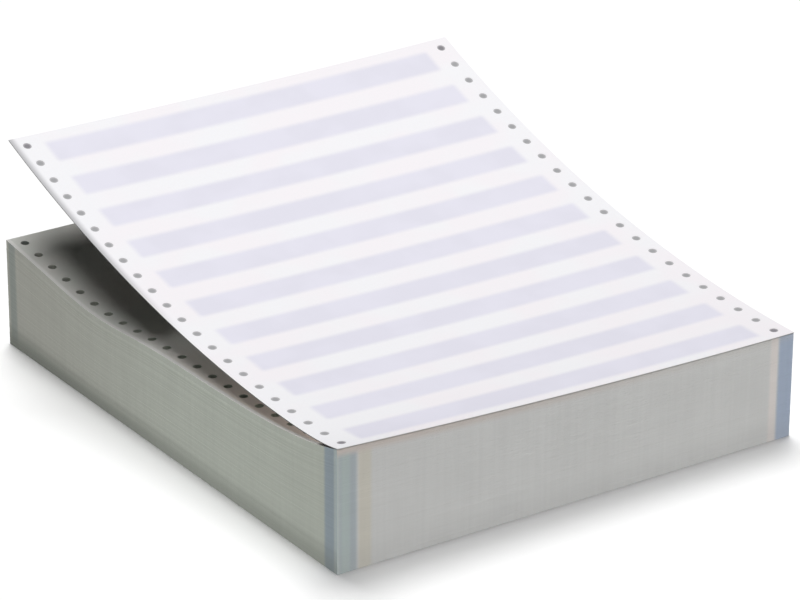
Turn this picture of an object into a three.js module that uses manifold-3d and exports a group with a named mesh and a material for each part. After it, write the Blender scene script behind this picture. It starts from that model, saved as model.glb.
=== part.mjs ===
// Fan-fold continuous form paper: one web of paper, folded back and forth into a pack.
// Its last leaf hangs on the topmost front fold and stands open in a gentle arc.
// Millimetres, +Z up. The origin is in the middle of the pack's underside, the width
// of the web runs along X, and the front folds face -Y.
import * as THREE from 'three';
import { mergeVertices } from 'three/addons/utils/BufferGeometryUtils.js';
import Module from 'manifold-3d';

const wasm = await Module();
wasm.setup();

// The web: 9 1/2 inches wide, with a fold every 11 inches.
const FORM_WIDTH = 241.3;
const FOLD_SPACING = 279.4;

// The punched margins: a round hole every half inch, close to each cut edge.
const HOLE_DIAMETER = 4;
const HOLE_PITCH = 12.7;
const HOLE_EDGE_INSET = 6.35;
const HOLE_SIDES = 10;

// The pack is lowest between its folds, where leaf lies flat on leaf. It rises towards the
// folds, which spring open a little, and most at its front left corner. Where the stiff
// front part ends and the back folds begin to rise, it sags.
const PACK_HEIGHT = 46.8;
const FRONT_FOLD_RISE = 3.5;
const FRONT_RISE_REACH = 38;
const BACK_FOLD_RISE = 5.9;
const BACK_RISE_REACH = 59;
const CORNER_RISE = 7.7;
const CORNER_RISE_POWER = 1.8;
const SAG_DEPTH = 4.2;
const SAG_BEHIND_FOLD = 202;
const SAG_REACH = 43;

// The folds show as ridges on the front and back faces, half a ridge out of step with
// each other, because the web turns at the front and at the back by turns.
const FOLD_RIDGES = 20;
const FOLD_RIDGE_DEPTH = 0.6;

// The leaves don't lie exactly edge on edge: each half ridge is a bundle of leaves that
// has slipped sideways by up to this much.
const EDGE_SLIP = 0.25;
const SLIP_TURN = 2.4;

// The open leaf: a sheet that turns over in a crease at the topmost front fold, settles
// a little behind the sprung corner, and then rises in an arc. Its left and right edges
// rise differently, which gives it a slight twist. Angles are above the horizontal.
const LEAF_THICKNESS = 0.4;
const CREASE_DEPTH = 2;
const CREASE_DROP = 0.8;
const CREASE_STEP = 0.4;
const CORNER_SETTLE = 2.3;
const CORNER_SETTLE_REACH = 12;
const LEFT_START_ANGLE = -1.4;
const LEFT_END_ANGLE = 21.4;
const RIGHT_START_ANGLE = 0.2;
const RIGHT_END_ANGLE = 22.7;

// Cells of the meshes across the web, along the pack and along the open leaf.
const WIDTH_CELLS = 8;
const PACK_CELLS = 16;
const LEAF_CELLS = 22;

// Share of the sprung front left corner at x: 1 at the left cut edge, 0 at the right one.
function cornerShare(x) {
  return (0.5 - x / FORM_WIDTH) ** CORNER_RISE_POWER;
}

// Height of the pack's top at x and at a distance behind the front fold.
function packTop(x, behindFold) {
  const front = FRONT_FOLD_RISE + CORNER_RISE * cornerShare(x);
  const frontFade = Math.exp(-behindFold / FRONT_RISE_REACH);
  const backFade = Math.exp((behindFold - FOLD_SPACING) / BACK_RISE_REACH);
  const sag = SAG_DEPTH * Math.exp(-(((behindFold - SAG_BEHIND_FOLD) / SAG_REACH) ** 2));
  return PACK_HEIGHT + front * frontFade + BACK_FOLD_RISE * backFade - sag;
}

// Point on the open leaf at x and at a length along the sheet from its crease. Lift is
// the distance above the leaf's underside, square to the sheet.
function leafPoint(x, along, lift) {
  const across = x / FORM_WIDTH + 0.5;
  const startDegrees = THREE.MathUtils.lerp(LEFT_START_ANGLE, RIGHT_START_ANGLE, across);
  const endDegrees = THREE.MathUtils.lerp(LEFT_END_ANGLE, RIGHT_END_ANGLE, across);
  const start = THREE.MathUtils.degToRad(startDegrees);
  const curvature = THREE.MathUtils.degToRad(endDegrees - startDegrees) / FOLD_SPACING;
  const angle = start + curvature * along;
  const settled = 1 - Math.exp(-along / CORNER_SETTLE_REACH);
  const settle = CORNER_SETTLE * cornerShare(x) * settled;
  const reach = (Math.sin(angle) - Math.sin(start)) / curvature;
  const rise = (Math.cos(start) - Math.cos(angle)) / curvature;
  const point = new THREE.Vector3(x, reach - FOLD_SPACING / 2, packTop(x, 0) - settle + rise);
  return point.addScaledVector(leafNormal(angle), lift);
}

// Direction square to the leaf where it stands at this angle above the horizontal.
function leafNormal(angle) {
  return new THREE.Vector3(0, -Math.sin(angle), Math.cos(angle));
}

// Moves every vertex of a geometry to where a function puts it.
function reshape(geometry, place) {
  const position = geometry.attributes.position;
  const vertex = new THREE.Vector3();
  for (let i = 0; i < position.count; i += 1) {
    vertex.fromBufferAttribute(position, i);
    const moved = place(vertex);
    position.setXYZ(i, moved.x, moved.y, moved.z);
  }
  return geometry;
}

// Closed mesh of a geometry as a solid that can be joined and cut.
function toSolid(geometry) {
  geometry.deleteAttribute('normal');
  geometry.deleteAttribute('uv');
  const merged = mergeVertices(geometry);
  return new wasm.Manifold(new wasm.Mesh({
    numProp: 3,
    vertProperties: merged.attributes.position.array,
    triVerts: Uint32Array.from(merged.index.array),
  }));
}

// Geometry of a solid.
function toGeometry(solid) {
  const mesh = solid.getMesh();
  const geometry = new THREE.BufferGeometry();
  geometry.setAttribute('position', new THREE.BufferAttribute(mesh.vertProperties, 3));
  geometry.setIndex(new THREE.BufferAttribute(mesh.triVerts, 1));
  geometry.computeVertexNormals();
  return geometry;
}

// The folded pack, without its open leaf. The block's rows alternate between the crests
// and the valleys of the fold ridges, and its cells crowd towards the front and back.
function foldedPack() {
  const rows = 2 * FOLD_RIDGES;
  const block = new THREE.BoxGeometry(1, 1, 1, WIDTH_CELLS, PACK_CELLS, rows);
  const narrowed = FORM_WIDTH - 2 * EDGE_SLIP;
  reshape(block, (vertex) => {
    const height = vertex.z + 0.5;
    const row = Math.round(height * rows);
    const share = 0.5 - 0.5 * Math.cos(Math.PI * (vertex.y + 0.5));
    const frontInset = row % 2 === 0 ? FOLD_RIDGE_DEPTH : 0;
    const backInset = FOLD_RIDGE_DEPTH - frontInset;
    const behindFold = THREE.MathUtils.lerp(frontInset, FOLD_SPACING - backInset, share);
    const x = vertex.x * narrowed + EDGE_SLIP * Math.sin(row * SLIP_TURN);
    return new THREE.Vector3(x, behindFold - FOLD_SPACING / 2, height * packTop(x, behindFold));
  });
  return toSolid(block);
}

// The open leaf. Its first row and the next one reach down into the pack: they are the
// crease that joins it to the leaf below.
function openLeaf() {
  const rows = LEAF_CELLS + 2;
  const sheet = new THREE.BoxGeometry(1, 1, 1, WIDTH_CELLS, rows, 1);
  const creaseEnd = CREASE_DEPTH + CREASE_STEP;
  reshape(sheet, (vertex) => {
    const row = Math.round((vertex.y + 0.5) * rows);
    const freeShare = (row - 2) / LEAF_CELLS;
    const along = row < 2 ? row * CREASE_DEPTH : creaseEnd + freeShare * (FOLD_SPACING - creaseEnd);
    const underside = row < 2 ? -CREASE_DROP : 0;
    return leafPoint(vertex.x * FORM_WIDTH, along, vertex.z > 0 ? LEAF_THICKNESS : underside);
  });
  return toSolid(sheet);
}

// Places of the sprocket holes: distances from the fold, centred between two folds.
function holeDistances() {
  const count = Math.floor(FOLD_SPACING / HOLE_PITCH);
  const first = (FOLD_SPACING - (count - 1) * HOLE_PITCH) / 2;
  return Array.from({ length: count }, (_, k) => first + k * HOLE_PITCH);
}

// A punch for one hole: a round bar of this length, centred on a point and turned so that
// it runs along a direction.
function punch(length, centre, direction) {
  const bar = new THREE.CylinderGeometry(HOLE_DIAMETER / 2, HOLE_DIAMETER / 2, length, HOLE_SIDES);
  const turn = new THREE.Quaternion().setFromUnitVectors(new THREE.Vector3(0, 1, 0), direction);
  bar.applyQuaternion(turn);
  bar.translate(centre.x, centre.y, centre.z);
  return toSolid(bar);
}

// Punches both margins of a solid. The function place gives each punch's centre and
// direction from its x and its distance from the fold.
function punchMargins(solid, length, place) {
  let punched = solid;
  for (const x of [HOLE_EDGE_INSET - FORM_WIDTH / 2, FORM_WIDTH / 2 - HOLE_EDGE_INSET]) {
    for (const distance of holeDistances()) {
      const { centre, direction } = place(x, distance);
      punched = punched.subtract(punch(length, centre, direction));
    }
  }
  return punched;
}

// The holes of the pack run straight down through all its leaves.
function punchedPack() {
  const tallest = packTop(-FORM_WIDTH / 2, 0);
  return punchMargins(foldedPack(), 2 * tallest + 2 * LEAF_THICKNESS, (x, distance) => ({
    centre: new THREE.Vector3(x, distance - FOLD_SPACING / 2, tallest / 2),
    direction: new THREE.Vector3(0, 0, 1),
  }));
}

// The holes of the open leaf run square through the sheet wherever it has turned to.
function punchedLeaf() {
  return punchMargins(openLeaf(), 4 * LEAF_THICKNESS, (x, distance) => {
    const centre = leafPoint(x, distance, LEAF_THICKNESS / 2);
    const direction = leafPoint(x, distance, LEAF_THICKNESS).sub(leafPoint(x, distance, 0));
    return { centre, direction: direction.normalize() };
  });
}

const paper = new THREE.MeshStandardMaterial({ color: 0xf3f1f4, roughness: 0.9, metalness: 0 });
const form = new THREE.Mesh(toGeometry(punchedPack().add(punchedLeaf())), paper);
form.name = 'fanfold_form';

const group = new THREE.Group();
group.add(form);

export default group;
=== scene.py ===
import math

import bpy
import numpy as np
from mathutils import Matrix, Vector


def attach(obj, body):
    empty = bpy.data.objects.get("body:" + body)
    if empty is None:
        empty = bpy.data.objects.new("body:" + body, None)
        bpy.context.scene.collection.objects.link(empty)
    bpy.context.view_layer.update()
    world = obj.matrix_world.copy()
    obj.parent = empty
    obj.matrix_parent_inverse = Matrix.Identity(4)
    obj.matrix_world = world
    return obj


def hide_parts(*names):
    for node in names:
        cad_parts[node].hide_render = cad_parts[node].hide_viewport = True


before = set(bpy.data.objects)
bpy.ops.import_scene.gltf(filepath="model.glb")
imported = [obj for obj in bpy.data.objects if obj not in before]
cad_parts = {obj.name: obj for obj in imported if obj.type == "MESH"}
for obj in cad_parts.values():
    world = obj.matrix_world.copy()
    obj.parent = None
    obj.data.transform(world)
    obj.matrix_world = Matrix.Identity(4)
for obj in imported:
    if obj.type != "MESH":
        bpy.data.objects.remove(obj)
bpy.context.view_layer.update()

# Lengths are in metres. The web's sizes and the shape of the pack and of its open leaf
# are those of the CAD model.
MM = 0.001
FORM_WIDTH = 241.3 * MM
FOLD_SPACING = 279.4 * MM
HOLE_PITCH = 12.7 * MM
HOLE_RADIUS = 2 * MM

PACK_HEIGHT = 46.8 * MM
FRONT_FOLD_RISE = 3.5 * MM
FRONT_RISE_REACH = 38 * MM
BACK_FOLD_RISE = 5.9 * MM
BACK_RISE_REACH = 59 * MM
CORNER_RISE = 7.7 * MM
CORNER_RISE_POWER = 1.8
SAG_DEPTH = 4.2 * MM
SAG_BEHIND_FOLD = 202 * MM
SAG_REACH = 43 * MM

LEAF_THICKNESS = 0.4 * MM
FOLD_OVERLAP = 0.1 * MM
CORNER_SETTLE = 2.3 * MM
CORNER_SETTLE_REACH = 12 * MM
LEFT_ANGLES = (-1.4, 21.4)
RIGHT_ANGLES = (0.2, 22.7)

# The plan of the web is a lattice of half inch squares. The squares along both cut edges
# hold the sprocket holes. A hole's ring of points starts towards its square's first corner.
# Points nearer to the front fold than the last of these lengths lie on it.
SQUARES_ACROSS = round(FORM_WIDTH / HOLE_PITCH)
SQUARES_ALONG = round(FOLD_SPACING / HOLE_PITCH)
SQUARE_CELLS = 4
HOLE_POINTS = 8 * SQUARE_CELLS
FIRST_CORNER_TURN = -0.375
COLLAR_RADIUS = 3.2 * MM
AT_FOLD = HOLE_PITCH / 100

# Edges that turn by more degrees than this look sharp.
SHARP_ANGLE = 32

# The pack's leaves, one row of the mesh each. Two leaves make one fold ridge. The topmost
# leaves lie back a little under the open leaf's fold.
LEAVES = 490
LEAF_PITCH = 0.1 * MM
VALLEY_DEPTH = 0.10 * MM
RIDGE_SCATTER = 0.03 * MM
BUNDLE_SCATTER = 0.05 * MM
BUNDLE_LEAVES = 14
TOP_RECESS = 0.05 * MM
TOP_RECESS_LEAVES = 8
SCATTER_SEED = 11

# The open leaf's front end is the rounded outside of its fold. Its holes are recesses,
# closed by a disc at this share of the thickness from either side; the discs carry painted shade.
NOSE_BULGE = 0.12 * MM
EDGE_ROWS = 4
HOLE_RECESS = 0.35

# Printed bars: one for every inch of the leaf, with soft and slightly ragged edges.
BAR_PERIOD = 25.4 * MM
BAR_SPAN = (5.1 * MM, 18.8 * MM)
BAR_HALF_LENGTH = 105.3 * MM
BAR_BLUR = 1.9 * MM
BAR_RAGGEDNESS = 0.5 * MM

# The imported edges are greyer than the sheet, as painted shade of the narrow gaps between
# the leaves, and the margins show on them as upright bands: where each band starts and ends,
# from the nearer end of its face.
LEFT_MARGIN_BAND = (-1 * MM, 9.8 * MM)
LEFT_MARGIN_LIGHTER = (2.0 * MM, 6.4 * MM)
LEFT_CORNER_LINE = (-1 * MM, 1.2 * MM)
LEFT_TEAR_STRIP = (10.6 * MM, 17 * MM)
RIGHT_MARGIN_BAND = (-1 * MM, 8 * MM)
RIGHT_TEAR_STRIP = (8.2 * MM, 12.6 * MM)
CUT_FRONT_BAND = (2 * MM, 9.5 * MM)
CUT_FRONT_EDGE = (-1 * MM, 2 * MM)
CUT_BACK_BAND = (2 * MM, 8 * MM)
BAND_BLUR = 1.2 * MM

# Shade that belongs to the paper's colours: below the open leaf's fold, at the foot of the
# pack, and along the open leaf's left cut edge towards its free end. A share says how much
# of the darker colour shows, and a tone is a factor of the face's own colour. TOP_SHADE_LOSS
# is the share that goes from left to right, and CUT_FOOT_GAIN what the shade at the foot of
# the cut sides gains from front to back.
TOP_SHADE_FULL = 1.0 * MM
TOP_SHADE_DEPTH = 4.2 * MM
TOP_SHADE_LOSS = 0.80
FOOT_SHADE_HEIGHT = 14 * MM
FOLD_FOOT_SHARE = 0.16
FOLD_FOOT_TONE = 0.5
CUT_FOOT_SHARE = 0.51
CUT_FOOT_GAIN = 0.43
CUT_FOOT_TONE = 0.36
EDGE_SHADE_WIDTH = 4 * MM
EDGE_SHADE_START = 110 * MM
EDGE_SHADE_FULL = 200 * MM
EDGE_SHADE_SHARE = 0.75

# The pack's own paper has a painted highlight along its cut edges, and painted warm light in
# front of the span of y in which the warmth fades. The folds are a little darker at their left
# end, and the cut sides grow darker, as painted shade, from their own starting distance behind
# the front fold to the back.
EDGE_HIGHLIGHT_SPAN = (1.3 * MM, 2.6 * MM)
WARM_LIGHT_FADE = (-0.35 * FOLD_SPACING, 0.10 * FOLD_SPACING)
LEFT_FOLD_TONE = 0.965
CUT_SHADE_START = 0.3 * FOLD_SPACING

# The painted shade on the disc in a hole is paler towards its rim.
HOLE_SHADE_RIM_START = 0.5 * HOLE_RADIUS
HOLE_SHADE_RIM_SHARE = 0.6

# Patterns of noise. The scale is in cells per metre, and the pattern is 0 below the lower
# limit and 1 above the upper one.
PAPER_CLOUDS = {"scale": 28, "limits": (0.38, 0.62)}
PAPER_FIBRE = {"scale": 900, "limits": (0.3, 0.75), "detail": 4}
PAPER_GRAIN = {"scale": 2600, "detail": 3}
INK_BLOTCHES = {"scale": 45, "limits": (0.35, 0.65)}
INK_RAGGEDNESS = {"scale": 600}
HOLE_SHADE_CLOUDS = {"scale": 300}
LEAF_LINES = {"scale": 30, "limits": (0.25, 0.75), "detail": 4, "stretch": (1, 1, 110)}
UPRIGHT_STREAKS = {"scale": 500, "limits": (0.3, 0.7), "detail": 3, "stretch": (1, 1, 0.03)}
EDGE_CLOUDS = {"scale": 60, "limits": (0.3, 0.7)}

# How far the patterns change a colour: a tone is a factor of it, or of its three primaries,
# and a share is how much of its pattern shows.
WARM_TONES = (1.006, 0.980, 0.990)
COOL_TONES = (0.990, 1.004, 1.006)
FIBRE_TONE = 0.972
FIBRE_SHARE = 0.5
GRAIN_DEPTH = 0.02 * MM
GRAIN_STRENGTH = 0.35
INK_TONES = (0.985, 1.015)
HOLE_SHADE_TONE = 0.9
EDGE_TONES = (0.955, 1.035)
LINE_SHARE = 0.35
STREAK_SHARE = 0.35
CLOUD_SHARE = 0.30

# Seen from the camera of the photograph.
CAMERA_PLACE = (-0.94674, -1.40324, 0.79363)
CAMERA_AZIMUTH = 34.15
CAMERA_DIP = 23.88
CAMERA_ROLL = 0.245
CAMERA_LENS = 183.92
SENSOR_WIDTH = 36

# Soft lights, each with its strength, its width in degrees and where it comes from. The
# leaf, the pack and the floor have lights of their own. The pack has one from above, and a
# nearly level one for each of its four sides.
LEAF_LIGHTS = {
    "leaf_key": (3.43, 50, (0.0, -0.40, 1.0)),
    "leaf_under_fill": (0.05, 10, (0.2, 1.0, 0.05)),
}
PACK_LIGHTS = {
    "pack_key": (3.05, 64, (0.10, -0.30, 1.0)),
    "front_fill": (1.25, 16, (0.0, -1.0, 0.04)),
    "left_fill": (1.17, 1, (-1.0, -0.1, 0.01)),
    "back_fill": (2.75, 1, (0.1, 1.0, 0.050)),
    "right_fill": (1.10, 1, (1.0, 0.1, 0.01)),
}
FLOOR_LIGHTS = {
    "floor_overhead": (1.18, 12, (0.01, -0.03, 1.0)),
    "floor_from_back": (2.18, 31, (0.17, 0.35, 1.0)),
}

# The floor and the surround look white, and send this share of it to the object.
FLOOR_HALF_SIZE = 6.0
FLOOR_CLEARANCE = 0.1 * MM
FLOOR_BOUNCE = 0.03
SKY_STRENGTH = 0.008

# Colours, as the share of each primary that a surface sends back.
WHITE = (1, 1, 1)
PAPER = (0.850, 0.838, 0.858)
# Painted shade: the pack's own paper is greyer and more olive than the open leaf's. Then painted
# warm light near the front fold, and a painted highlight along the pack's cut edges.
SHADED_INNER_PAPER = (0.770, 0.775, 0.725)
PAINTED_WARM_LIGHT = (0.900, 0.800, 0.720)
PAINTED_EDGE_HIGHLIGHT = (0.880, 0.870, 0.845)
# Painted shade: the open leaf's underside is darker than its upper side.
UNDERSIDE_SHADE = (0.780, 0.775, 0.765)
BAR_INK = (0.722, 0.712, 0.795)
# Painted shade: the greys of the discs in the open leaf's holes, darker in its corners and paler at
# the rim. The first grey is also the painted shade along the leaf's left cut edge.
PAINTED_SHADE_GREY = (0.36, 0.36, 0.37)
CORNER_HOLE_SHADE = (0.25, 0.24, 0.26)
HOLE_SHADE_RIM = (0.60, 0.59, 0.60)
# FOLD_GREY and CUT_GREY are greyer than the paper as painted shade of the gaps between the leaves.
FOLD_GREY = (0.683, 0.685, 0.672)
FOLD_BLUE = (0.448, 0.492, 0.516)
FOLD_TEAL = (0.482, 0.547, 0.536)
FOLD_BEIGE = (0.648, 0.626, 0.561)
FOLD_STEEL = (0.442, 0.510, 0.620)
FOLD_PALE = (0.772, 0.734, 0.709)
CORNER_PALE = (0.537, 0.587, 0.574)
CUT_GREY = (0.685, 0.728, 0.645)
# Painted shade towards the back of the cut sides.
CUT_BACK_SHADE = (0.545, 0.550, 0.494)
CUT_BLUE = (0.440, 0.520, 0.570)
CUT_DARK = (0.400, 0.430, 0.400)
CUT_EDGE = (0.600, 0.680, 0.690)
TOP_SHADE = (0.620, 0.565, 0.530)


def corner_share(x):
    """Share of the sprung front left corner at x."""
    return np.clip(0.5 - x / FORM_WIDTH, 0, 1) ** CORNER_RISE_POWER


def pack_top(x, behind):
    """Height of the pack's top at x and at a distance behind the front fold."""
    front = (FRONT_FOLD_RISE + CORNER_RISE * corner_share(x)) * np.exp(-behind / FRONT_RISE_REACH)
    back = BACK_FOLD_RISE * np.exp((behind - FOLD_SPACING) / BACK_RISE_REACH)
    sag = SAG_DEPTH * np.exp(-((behind - SAG_BEHIND_FOLD) / SAG_REACH) ** 2)
    return PACK_HEIGHT + front + back - sag


def leaf_points(x, along, lift):
    """Points of the open leaf at x, at a length along it and at a lift above its underside."""
    across = x / FORM_WIDTH + 0.5
    start = np.radians(LEFT_ANGLES[0] + (RIGHT_ANGLES[0] - LEFT_ANGLES[0]) * across)
    end = np.radians(LEFT_ANGLES[1] + (RIGHT_ANGLES[1] - LEFT_ANGLES[1]) * across)
    curvature = (end - start) / FOLD_SPACING
    angle = start + curvature * along
    settled = 1 - np.exp(-along / CORNER_SETTLE_REACH)
    settle = CORNER_SETTLE * corner_share(x) * settled
    reach = (np.sin(angle) - np.sin(start)) / curvature
    rise = (np.cos(start) - np.cos(angle)) / curvature
    y = reach - FOLD_SPACING / 2 - lift * np.sin(angle)
    z = pack_top(x, 0) - settle + rise + lift * np.cos(angle)
    return np.stack([x, y, z], axis=-1)


class Plan:
    """Plan of the punched web: points as x and distance behind the fold, faces that look
    up, the ring of points round each hole, and the points of the rim, counterclockwise."""

    def __init__(self):
        self.points = []
        self.faces = []
        self.rings = []
        self.columns = SQUARES_ACROSS * SQUARE_CELLS
        self.rows = SQUARES_ALONG * SQUARE_CELLS
        self.step = HOLE_PITCH / SQUARE_CELLS
        self.grid = np.full((self.columns + 1, self.rows + 1), -1)
        self.number_grid()
        self.fill_middle()
        for column in (0, self.columns - SQUARE_CELLS):
            for row in range(0, self.rows, SQUARE_CELLS):
                self.fill_punched_square(column, row)
        self.points = np.array(self.points)
        self.rings = np.array(self.rings)
        self.rim = self.loop(0, 0, self.columns, self.rows)

    def add_point(self, x, behind):
        self.points.append((x, behind))
        return len(self.points) - 1

    def number_grid(self):
        """Numbers the lattice's points, apart from those inside a punched square."""
        for column in range(self.columns + 1):
            in_margin = column < SQUARE_CELLS or column > self.columns - SQUARE_CELLS
            for row in range(self.rows + 1):
                inside = in_margin and column % SQUARE_CELLS and row % SQUARE_CELLS
                if not inside:
                    x = column * self.step - FORM_WIDTH / 2
                    self.grid[column, row] = self.add_point(x, row * self.step)

    def fill_middle(self):
        g = self.grid
        for column in range(SQUARE_CELLS, self.columns - SQUARE_CELLS):
            for row in range(self.rows):
                self.faces.append((
                    g[column, row], g[column + 1, row],
                    g[column + 1, row + 1], g[column, row + 1],
                ))

    def loop(self, column, row, columns, rows):
        """Lattice points round a rectangle, counterclockwise."""
        g = self.grid
        path = [g[column + i, row] for i in range(columns)]
        path += [g[column + columns, row + i] for i in range(rows)]
        path += [g[column + columns - i, row + rows] for i in range(columns)]
        path += [g[column, row + rows - i] for i in range(rows)]
        return np.array(path)

    def ring(self, centre, radius):
        """A ring of new points, counterclockwise."""
        turns = np.arange(HOLE_POINTS) / HOLE_POINTS + FIRST_CORNER_TURN
        return [
            self.add_point(centre[0] + radius * math.cos(a), centre[1] + radius * math.sin(a))
            for a in 2 * math.pi * turns
        ]

    def fill_punched_square(self, column, row):
        """A square with a hole in its middle, and a collar of quads round the hole."""
        middle = SQUARE_CELLS / 2
        centre = ((column + middle) * self.step - FORM_WIDTH / 2, (row + middle) * self.step)
        square = self.loop(column, row, SQUARE_CELLS, SQUARE_CELLS)
        collar = self.ring(centre, COLLAR_RADIUS)
        hole = self.ring(centre, HOLE_RADIUS)
        count = len(square)
        for k in range(count):
            near, far = square[k], square[(k + 1) % count]
            first, second, third = (collar[(2 * k + i) % HOLE_POINTS] for i in range(3))
            self.faces += [(near, far, second), (near, second, first), (far, third, second)]
        for k in range(HOLE_POINTS):
            j = (k + 1) % HOLE_POINTS
            self.faces.append((collar[k], collar[j], hole[j], hole[k]))
        self.rings.append(hole)


class Body:
    """Collects the points and faces of one mesh, with a material slot for each face."""

    def __init__(self):
        self.blocks = []
        self.count = 0
        self.faces = []
        self.slots = []

    def add_points(self, points):
        """Adds points and gives their numbers, in the shape that the points have."""
        points = np.asarray(points)
        shape = points.shape[:-1]
        flat = points.reshape(-1, 3)
        self.blocks.append(flat)
        numbers = np.arange(self.count, self.count + len(flat)).reshape(shape)
        self.count += len(flat)
        return numbers

    def points(self):
        return np.concatenate(self.blocks)

    def add_faces(self, faces, slot):
        faces = [tuple(int(i) for i in face) for face in faces]
        self.faces += faces
        self.slots += [slot] * len(faces)

    def add_strip(self, low, high, slot):
        """Quads between two closed loops of points that match, low one first."""
        low_next, high_next = np.roll(low, -1), np.roll(high, -1)
        self.add_faces(zip(low, low_next, high_next, high), slot)

    def to_object(self, name, materials):
        mesh = bpy.data.meshes.new(name)
        mesh.from_pydata(self.points().tolist(), [], self.faces)
        mesh.polygons.foreach_set("material_index", self.slots)
        mesh.polygons.foreach_set("use_smooth", [True] * len(self.faces))
        mesh.update()
        mesh.set_sharp_from_angle(angle=math.radians(SHARP_ANGLE))
        for material in materials:
            mesh.materials.append(material)
        obj = bpy.data.objects.new(name, mesh)
        bpy.context.scene.collection.objects.link(obj)
        return obj


def store_places(obj, name, places):
    """Gives each point of an object's mesh a place that its materials read by this name."""
    attribute = obj.data.attributes.new(name, "FLOAT_VECTOR", "POINT")
    attribute.data.foreach_set("vector", places.ravel())


def build_open_leaf(plan, materials):
    """The open leaf: a thin sheet with a rounded fold at its front end, and recessed holes closed
    by discs of painted shade.
    """
    paper_slot, shade_disc_slot = 0, 1
    body = Body()
    x, along = plan.points.T
    overlap = np.where(along < AT_FOLD, FOLD_OVERLAP, 0)
    top = body.add_points(leaf_points(x, along, LEAF_THICKNESS))
    under = body.add_points(leaf_points(x, along, -overlap))
    body.add_faces((top[list(face)] for face in plan.faces), paper_slot)
    body.add_faces((under[list(face)][::-1] for face in plan.faces), paper_slot)

    rim_x, rim_along = x[plan.rim], along[plan.rim]
    on_fold = (rim_along < AT_FOLD).astype(float)
    low = under[plan.rim]
    for row in range(1, EDGE_ROWS):
        share = row / EDGE_ROWS
        lift = LEAF_THICKNESS * share - overlap[plan.rim] * (1 - share)
        edge = leaf_points(rim_x, rim_along, lift)
        edge[:, 1] -= on_fold * NOSE_BULGE * math.sin(math.pi * share)
        high = body.add_points(edge)
        body.add_strip(low, high, paper_slot)
        low = high
    body.add_strip(low, top[plan.rim], paper_slot)

    shade_discs = []
    for ring in plan.rings:
        upper = leaf_points(x[ring], along[ring], LEAF_THICKNESS * (1 - HOLE_RECESS))
        lower = leaf_points(x[ring], along[ring], LEAF_THICKNESS * HOLE_RECESS)
        upper, lower = body.add_points(upper), body.add_points(lower)
        body.add_strip(top[ring], upper, paper_slot)
        body.add_strip(lower, under[ring], paper_slot)
        # The disc in each hole, which carries painted shade.
        body.add_faces([upper, lower[::-1]], shade_disc_slot)
        shade_discs += [(upper, along[ring]), (lower, along[ring])]

    leaf = body.to_object("open_leaf", materials)
    places = np.zeros((body.count, 3))
    places[:, 0] = body.points()[:, 0]
    for numbers, lengths in [(top, along), (under, along)] + shade_discs:
        places[numbers, 1] = lengths
    places[top, 2] = 1
    store_places(leaf, "sheet", places)
    return leaf


class LeafScatter:
    """How far each leaf of the pack lies out of line: sideways, and back from the front and
    the back folds. Bundles of leaves drift together, and each leaf a little by itself."""

    def __init__(self, seed):
        random = np.random.default_rng(seed)
        rows = LEAVES + 1
        valley = np.arange(rows) % 2
        recess = np.zeros(rows)
        recess[-TOP_RECESS_LEAVES:] = TOP_RECESS
        self.sideways = self.drift(random, rows) + random.uniform(-1, 1, rows) * RIDGE_SCATTER
        self.front = valley * VALLEY_DEPTH + self.inset(random, rows) + recess
        self.back = (1 - valley) * VALLEY_DEPTH + self.inset(random, rows)
        self.most_sideways = np.abs(self.sideways).max()

    @staticmethod
    def drift(random, rows):
        """A smooth random course from leaf to leaf."""
        knots = random.uniform(-1, 1, rows // BUNDLE_LEAVES + 2)
        course = np.interp(np.arange(rows) / BUNDLE_LEAVES, np.arange(len(knots)), knots)
        return course * BUNDLE_SCATTER

    def inset(self, random, rows):
        """How far each leaf stays behind the line of the folds."""
        single = random.uniform(0, RIDGE_SCATTER, rows)
        return single + 0.5 * (self.drift(random, rows) + BUNDLE_SCATTER)

    def place(self, x, behind, row):
        """Points of the pack's leaf number row."""
        narrowed = x * (1 - 2 * self.most_sideways / FORM_WIDTH)
        front, back = self.front[row], self.back[row]
        moved = front + behind * (FOLD_SPACING - front - back) / FOLD_SPACING
        z = pack_top(x, behind) * row / LEAVES
        return np.stack([narrowed + self.sideways[row], moved - FOLD_SPACING / 2, z], axis=-1)


def build_pack(plan, scatter, materials):
    """The folded pack: every leaf's edge is a row of its walls, and the sprocket holes run
    straight down through it."""
    paper_slot, fold_slot, cut_slot = 0, 1, 2
    body = Body()
    x, behind = plan.points.T
    top = body.add_points(scatter.place(x, behind, LEAVES))
    under = body.add_points(scatter.place(x, behind, 0))
    body.add_faces((top[list(face)] for face in plan.faces), paper_slot)
    body.add_faces((under[list(face)][::-1] for face in plan.faces), paper_slot)
    for ring in plan.rings:
        body.add_strip(top[ring], under[ring], cut_slot)

    corners = plan.rim[::SQUARE_CELLS]
    rows = np.arange(1, LEAVES)[:, None]
    wall = body.add_points(scatter.place(x[corners][None, :], behind[corners][None, :], rows))
    on_fold = np.zeros(len(corners), dtype=bool)
    on_fold[:SQUARES_ACROSS] = True
    on_fold[SQUARES_ACROSS + SQUARES_ALONG:2 * SQUARES_ACROSS + SQUARES_ALONG] = True
    for c in range(len(corners)):
        d = (c + 1) % len(corners)
        slot = fold_slot if on_fold[c] else cut_slot
        body.add_faces(zip(wall[:-1, c], wall[:-1, d], wall[1:, d], wall[1:, c]), slot)
        span = plan.rim[np.arange(c * SQUARE_CELLS, (c + 1) * SQUARE_CELLS + 1) % len(plan.rim)]
        body.add_faces(fan(wall[-1, c], wall[-1, d], top[span]), slot)
        body.add_faces(fan(wall[0, d], wall[0, c], under[span][::-1]), slot)

    pack = body.to_object("folded_pack", materials)
    places = body.points()
    places[wall, 2] = np.broadcast_to(rows * LEAF_PITCH, wall.shape)
    places[top, 2] = LEAVES * LEAF_PITCH
    store_places(pack, "stack", places)
    return pack


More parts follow.
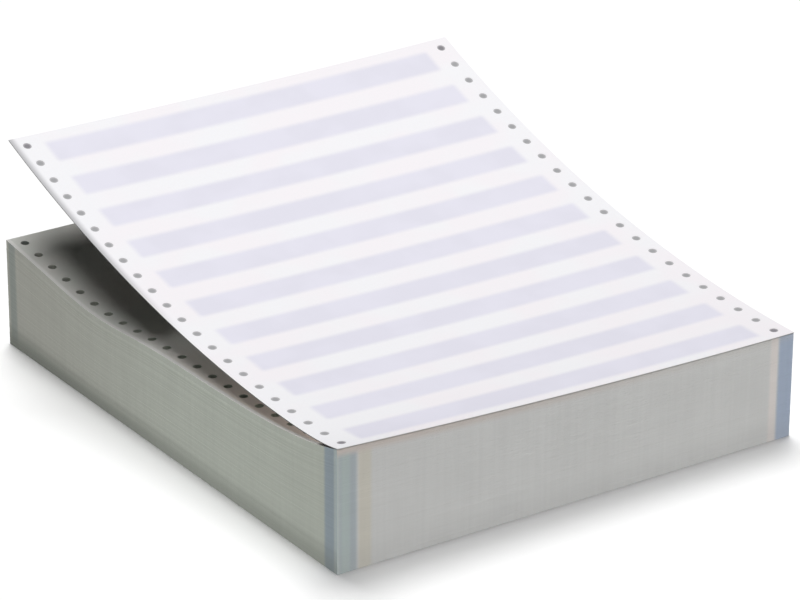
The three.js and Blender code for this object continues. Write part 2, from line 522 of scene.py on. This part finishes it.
def fan(first, second, fine):
    """Triangles between one edge and a chain of shorter ones that runs beside it."""
    middle = len(fine) // 2
    faces = [(first, second, fine[middle])]
    faces += [(first, fine[i + 1], fine[i]) for i in range(middle)]
    faces += [(second, fine[i + 1], fine[i]) for i in range(middle, len(fine) - 1)]
    return faces


def scaled(colour, factor):
    return tuple(c * factor for c in colour)


def tinted(colour, factors):
    return tuple(c * factor for c, factor in zip(colour, factors))


class Shader:
    """A material's node tree, built up in short calls."""

    def __init__(self, name, roughness, specular=0.25):
        self.material = bpy.data.materials.new(name)
        self.material.use_nodes = True
        self.tree = self.material.node_tree
        self.surface = self.tree.nodes["Principled BSDF"]
        self.surface.inputs["Roughness"].default_value = roughness
        self.surface.inputs["Specular IOR Level"].default_value = specular

    def node(self, kind, inputs=(), **settings):
        node = self.tree.nodes.new(kind)
        for key, value in settings.items():
            setattr(node, key, value)
        for socket, value in dict(inputs).items():
            self.feed(node.inputs[socket], value)
        return node

    def feed(self, socket, value):
        if isinstance(value, bpy.types.NodeSocket):
            self.tree.links.new(value, socket)
        else:
            socket.default_value = value

    def feed_colour(self, socket, colour):
        linked = isinstance(colour, bpy.types.NodeSocket)
        self.feed(socket, colour if linked else (*colour, 1))

    def math(self, operation, *values):
        return self.node("ShaderNodeMath", enumerate(values), operation=operation).outputs[0]

    def ramp(self, value, low, high):
        """0 below low, 1 above high, with a smooth step between."""
        node = self.node("ShaderNodeMapRange", {0: value, 1: low, 2: high})
        node.interpolation_type = "SMOOTHSTEP"
        return node.outputs[0]

    def fade(self, value, low, high):
        """1 below low, 0 above high, with a smooth step between."""
        return self.math("SUBTRACT", 1, self.ramp(value, low, high))

    def mix(self, share, first, second):
        """The first colour, with a share of the second. A Mix node's sockets for colours are
        its inputs 6 and 7 and its output 2."""
        node = self.node("ShaderNodeMix", data_type="RGBA")
        self.feed(node.inputs[0], share)
        self.feed_colour(node.inputs[6], first)
        self.feed_colour(node.inputs[7], second)
        return node.outputs[2]

    def noise(self, place, scale, limits=None, detail=2.0, stretch=(1, 1, 1)):
        """Noise in cells of 1 / scale metres, as it is or spread between two limits."""
        moved = self.node("ShaderNodeMapping", {"Vector": place, "Scale": stretch})
        inputs = {"Vector": moved.outputs[0], "Scale": scale, "Detail": detail}
        value = self.node("ShaderNodeTexNoise", inputs).outputs[0]
        return self.ramp(value, *limits) if limits else value

    def object_place(self):
        return self.node("ShaderNodeTexCoord").outputs["Object"]

    def stored_place(self, name):
        return self.node("ShaderNodeAttribute", attribute_name=name).outputs["Vector"]

    def split(self, vector):
        return self.node("ShaderNodeSeparateXYZ", {0: vector}).outputs

    def bump(self, height, distance, strength):
        inputs = {"Height": height, "Distance": distance, "Strength": strength}
        self.feed(self.surface.inputs["Normal"], self.node("ShaderNodeBump", inputs).outputs[0])

    def finish(self, colour):
        self.feed(self.surface.inputs["Base Color"], colour)
        return self.material


def band(shader, distance, span, blur):
    """1 between the two ends of a span of distances, 0 outside it."""
    rises = shader.ramp(distance, span[0] - blur, span[0] + blur)
    falls = shader.fade(distance, span[1] - blur, span[1] + blur)
    return shader.math("MULTIPLY", rises, falls)


def paper_colour(shader, paper):
    """Uncoated printing paper: near white, in faint warm and cool clouds, with fine fibre."""
    place = shader.object_place()
    clouds = shader.noise(place, **PAPER_CLOUDS)
    clouded = shader.mix(clouds, tinted(paper, WARM_TONES), tinted(paper, COOL_TONES))
    fibre = shader.math("MULTIPLY", shader.noise(place, **PAPER_FIBRE), FIBRE_SHARE)
    shader.bump(shader.noise(place, **PAPER_GRAIN), GRAIN_DEPTH, GRAIN_STRENGTH)
    return shader.mix(fibre, clouded, scaled(paper, FIBRE_TONE))


def printed_bars(shader, x, along, upper):
    """1 on the printed bars of the leaf's upper side, 0 outside them."""
    ragged = shader.noise(shader.object_place(), **INK_RAGGEDNESS)
    ragged = shader.math("SUBTRACT", ragged, 0.5)
    ragged = shader.math("MULTIPLY", ragged, BAR_RAGGEDNESS)
    in_period = shader.math("ADD", shader.math("MODULO", along, BAR_PERIOD), ragged)
    from_middle = shader.math("ADD", shader.math("ABSOLUTE", x), ragged)
    bars = band(shader, in_period, BAR_SPAN, BAR_BLUR)
    within = shader.fade(from_middle, BAR_HALF_LENGTH - BAR_BLUR, BAR_HALF_LENGTH + BAR_BLUR)
    bars = shader.math("MULTIPLY", bars, within)
    return shader.math("MULTIPLY", bars, shader.math("GREATER_THAN", upper, 0.5))


def edge_shade(shader, x, along):
    """Painted shade along the open leaf's left cut edge, towards its free end."""
    inward = shader.math("ADD", x, FORM_WIDTH / 2)
    near = shader.fade(inward, 0, EDGE_SHADE_WIDTH)
    outer = shader.ramp(along, EDGE_SHADE_START, EDGE_SHADE_FULL)
    return shader.math("MULTIPLY", shader.math("MULTIPLY", near, outer), EDGE_SHADE_SHARE)


def printed_paper():
    """The open leaf's paper: pale bars on its upper side, an underside darkened as painted
    shade, and painted shade along its left cut edge."""
    shader = Shader("printed_paper", roughness=0.85, specular=0.05)
    x, along, upper = shader.split(shader.stored_place("sheet"))
    colour = paper_colour(shader, PAPER)
    blotches = shader.noise(shader.object_place(), **INK_BLOTCHES)
    ink = shader.mix(blotches, *(scaled(BAR_INK, factor) for factor in INK_TONES))
    colour = shader.mix(printed_bars(shader, x, along, upper), colour, ink)
    colour = shader.mix(shader.math("LESS_THAN", upper, 0.5), colour, UNDERSIDE_SHADE)
    return shader.finish(shader.mix(edge_shade(shader, x, along), colour, PAINTED_SHADE_GREY))


def plain_paper():
    """The pack's own paper, with no print: greyer than the open leaf's as painted shade, with
    painted warm light near the front and a painted highlight along its cut edges."""
    shader = Shader("plain_paper", roughness=0.95, specular=0.03)
    x, y, _ = shader.split(shader.object_place())
    inner = shader.mix(shader.ramp(y, *WARM_LIGHT_FADE), PAINTED_WARM_LIGHT, paper_colour(shader, SHADED_INNER_PAPER))
    inward = shader.math("SUBTRACT", FORM_WIDTH / 2, shader.math("ABSOLUTE", x))
    return shader.finish(shader.mix(shader.ramp(inward, *EDGE_HIGHLIGHT_SPAN), PAINTED_EDGE_HIGHLIGHT, inner))


def hole_shade_discs():
    """Painted shade on the discs in the open leaf's holes: paler towards the rim, and darker
    in the leaf's four corners."""
    shader = Shader("hole_shade_discs", roughness=0.9)
    x, along, _ = shader.split(shader.stored_place("sheet"))
    from_middle = shader.math("ABSOLUTE", shader.math("SUBTRACT", along, FOLD_SPACING / 2))
    corner = shader.math("GREATER_THAN", from_middle, FOLD_SPACING / 2 - HOLE_PITCH)
    cloud = shader.noise(shader.object_place(), **HOLE_SHADE_CLOUDS)
    plain = shader.mix(cloud, scaled(PAINTED_SHADE_GREY, HOLE_SHADE_TONE), PAINTED_SHADE_GREY)
    dark = shader.mix(cloud, scaled(CORNER_HOLE_SHADE, HOLE_SHADE_TONE), CORNER_HOLE_SHADE)
    disc_shade = shader.mix(corner, plain, dark)
    in_square = shader.math("MODULO", along, HOLE_PITCH)
    in_square = shader.math("SUBTRACT", in_square, HOLE_PITCH / 2)
    in_margin = shader.math("SUBTRACT", shader.math("ABSOLUTE", x), (FORM_WIDTH - HOLE_PITCH) / 2)
    squares = shader.math("MULTIPLY", in_square, in_square)
    squares = shader.math("MULTIPLY_ADD", in_margin, in_margin, squares)
    rim = shader.ramp(shader.math("SQRT", squares), HOLE_SHADE_RIM_START, HOLE_RADIUS)
    return shader.finish(shader.mix(shader.math("MULTIPLY", rim, HOLE_SHADE_RIM_SHARE), disc_shade, HOLE_SHADE_RIM))


def edge_texture(shader, place, grey):
    """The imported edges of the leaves: fine lines that follow the leaves, and faint upright
    streaks where the edges of many leaves line up."""
    lines = shader.noise(place, **LEAF_LINES)
    streaks = shader.noise(place, **UPRIGHT_STREAKS)
    clouds = shader.noise(place, **EDGE_CLOUDS)
    streaks = shader.math("MULTIPLY", streaks, STREAK_SHARE)
    fine = shader.math("MULTIPLY_ADD", lines, LINE_SHARE, streaks)
    tone = shader.math("MULTIPLY_ADD", clouds, CLOUD_SHARE, fine)
    return shader.mix(tone, *(scaled(grey, factor) for factor in EDGE_TONES))


def painted(shader, colour, place, bands):
    """A colour with bands of other colours over it, each with the texture of the edges."""
    for distance, span, tint in bands:
        textured = edge_texture(shader, place, tint)
        colour = shader.mix(band(shader, distance, span, BAND_BLUR), colour, textured)
    return colour


def top_shaded(shader, colour, stacked, across):
    """The edges of the topmost leaves, which stay in the shade of the open leaf's fold, and
    most so below the sprung corner."""
    below_top = shader.math("SUBTRACT", LEAVES * LEAF_PITCH, stacked)
    shade = shader.fade(below_top, TOP_SHADE_FULL, TOP_SHADE_DEPTH)
    share = shader.math("MULTIPLY_ADD", across, -TOP_SHADE_LOSS, 1)
    return shader.mix(shader.math("MULTIPLY", shade, share), colour, TOP_SHADE)


def foot_shaded(shader, colour, stacked, share, dark):
    """A colour that darkens towards the foot of the pack."""
    foot = shader.fade(stacked, 0, FOOT_SHADE_HEIGHT)
    return shader.mix(shader.math("MULTIPLY", foot, share), colour, dark)


def fold_faces():
    """The front and back faces, where the folds lie one on another."""
    shader = Shader("fold_faces", roughness=0.9)
    place = shader.stored_place("stack")
    x, _, stacked = shader.split(place)
    from_left = shader.math("ADD", x, FORM_WIDTH / 2)
    from_right = shader.math("SUBTRACT", FORM_WIDTH / 2, x)
    across = shader.ramp(x, -FORM_WIDTH / 2, FORM_WIDTH / 2)
    darker_tone = edge_texture(shader, place, scaled(FOLD_GREY, LEFT_FOLD_TONE))
    colour = shader.mix(across, darker_tone, edge_texture(shader, place, FOLD_GREY))
    colour = painted(shader, colour, place, (
        (from_left, LEFT_TEAR_STRIP, FOLD_BEIGE),
        (from_left, LEFT_MARGIN_BAND, FOLD_BLUE),
        (from_left, LEFT_MARGIN_LIGHTER, FOLD_TEAL),
        (from_left, LEFT_CORNER_LINE, CORNER_PALE),
        (from_right, RIGHT_TEAR_STRIP, FOLD_PALE),
        (from_right, RIGHT_MARGIN_BAND, FOLD_STEEL),
    ))
    dark = scaled(FOLD_GREY, FOLD_FOOT_TONE)
    colour = foot_shaded(shader, colour, stacked, FOLD_FOOT_SHARE, dark)
    return shader.finish(top_shaded(shader, colour, stacked, across))


def cut_sides():
    """The left and right sides, where the leaves are cut."""
    shader = Shader("cut_sides", roughness=0.9)
    place = shader.stored_place("stack")
    _, y, stacked = shader.split(place)
    from_front = shader.math("ADD", y, FOLD_SPACING / 2)
    from_back = shader.math("SUBTRACT", FOLD_SPACING / 2, y)
    # Painted shade: the cut sides darken towards the back.
    along = shader.ramp(from_front, CUT_SHADE_START, FOLD_SPACING)
    darker_tone = edge_texture(shader, place, CUT_BACK_SHADE)
    colour = shader.mix(along, edge_texture(shader, place, CUT_GREY), darker_tone)
    colour = painted(shader, colour, place, (
        (from_front, CUT_FRONT_BAND, CUT_BLUE),
        (from_front, CUT_FRONT_EDGE, CUT_EDGE),
        (from_back, CUT_BACK_BAND, CUT_DARK),
    ))
    share = shader.math("MULTIPLY_ADD", along, CUT_FOOT_GAIN, CUT_FOOT_SHARE)
    dark = scaled(CUT_GREY, CUT_FOOT_TONE)
    return shader.finish(foot_shaded(shader, colour, stacked, share, dark))


def seen_by_eye(tree):
    """1 for rays that the camera sees, directly, in a mirror or through glass."""
    path = tree.nodes.new("ShaderNodeLightPath")
    total = path.outputs["Is Camera Ray"]
    for name in ("Is Glossy Ray", "Is Transmission Ray"):
        most = tree.nodes.new("ShaderNodeMath")
        most.operation = "MAXIMUM"
        tree.links.new(total, most.inputs[0])
        tree.links.new(path.outputs[name], most.inputs[1])
        total = most.outputs[0]
    return total


def floor_material():
    """White to the eye, with the object's shadow, and nearly black to the object."""
    material = bpy.data.materials.new("floor")
    material.use_nodes = True
    tree = material.node_tree
    tree.nodes.clear()
    mix = tree.nodes.new("ShaderNodeMixShader")
    tree.links.new(seen_by_eye(tree), mix.inputs[0])
    for socket, colour in ((1, scaled(WHITE, FLOOR_BOUNCE)), (2, WHITE)):
        diffuse = tree.nodes.new("ShaderNodeBsdfDiffuse")
        diffuse.inputs["Color"].default_value = (*colour, 1)
        tree.links.new(diffuse.outputs[0], mix.inputs[socket])
    output = tree.nodes.new("ShaderNodeOutputMaterial")
    tree.links.new(mix.outputs[0], output.inputs["Surface"])
    return material


def build_floor():
    """A pale floor just below the object."""
    signs = ((-1, -1), (1, -1), (1, 1), (-1, 1))
    corners = [(x * FLOOR_HALF_SIZE, y * FLOOR_HALF_SIZE, -FLOOR_CLEARANCE) for x, y in signs]
    mesh = bpy.data.meshes.new("floor")
    mesh.from_pydata(corners, [], [(0, 1, 2, 3)])
    mesh.materials.append(floor_material())
    floor = bpy.data.objects.new("floor", mesh)
    bpy.context.scene.collection.objects.link(floor)
    return floor


def build_world():
    """A white surround for the eye, and a far dimmer even one that lights the object. A Mix
    node's sockets for numbers are its inputs 2 and 3."""
    world = bpy.data.worlds.new("surround")
    world.use_nodes = True
    tree = world.node_tree
    background = tree.nodes["Background"]
    background.inputs["Color"].default_value = (*WHITE, 1)
    mix = tree.nodes.new("ShaderNodeMix")
    mix.inputs[2].default_value = SKY_STRENGTH
    mix.inputs[3].default_value = 1
    tree.links.new(seen_by_eye(tree), mix.inputs[0])
    tree.links.new(mix.outputs[0], background.inputs["Strength"])
    bpy.context.scene.world = world


def build_lights(lights, lit):
    """Suns that light only the given piece, which all pieces can still shade."""
    group = bpy.data.collections.new("lit_" + lit.name)
    group.objects.link(lit)
    for name, (strength, width, place) in lights.items():
        light = bpy.data.lights.new(name, "SUN")
        light.energy = strength
        light.angle = math.radians(width)
        lamp = bpy.data.objects.new(name, light)
        lamp.rotation_euler = Vector(place).to_track_quat("Z", "Y").to_euler()
        lamp.light_linking.receiver_collection = group
        bpy.context.scene.collection.objects.link(lamp)


def build_camera():
    """The camera that the photograph was fitted with."""
    data = bpy.data.cameras.new("camera")
    data.lens = CAMERA_LENS
    data.sensor_width = SENSOR_WIDTH
    data.sensor_fit = "HORIZONTAL"
    camera = bpy.data.objects.new("camera", data)
    azimuth, dip = math.radians(CAMERA_AZIMUTH), math.radians(CAMERA_DIP)
    forward = Vector((
        math.sin(azimuth) * math.cos(dip), math.cos(azimuth) * math.cos(dip), -math.sin(dip),
    ))
    turn = forward.to_track_quat("-Z", "Y").to_matrix().to_4x4()
    roll = Matrix.Rotation(math.radians(CAMERA_ROLL), 4, "Z")
    camera.matrix_world = Matrix.Translation(CAMERA_PLACE) @ turn @ roll
    bpy.context.scene.collection.objects.link(camera)
    bpy.context.scene.camera = camera


build_camera()
build_world()
plan = Plan()
leaf = build_open_leaf(plan, [printed_paper(), hole_shade_discs()])
pack = build_pack(plan, LeafScatter(SCATTER_SEED), [
    plain_paper(), fold_faces(), cut_sides(),
])
for piece in (leaf, pack):
    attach(piece, "root")
    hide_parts("fanfold_form")
floor = build_floor()
build_lights(LEAF_LIGHTS, leaf)
build_lights(PACK_LIGHTS, pack)
build_lights(FLOOR_LIGHTS, floor)
bpy.context.scene.view_settings.view_transform = "Standard"
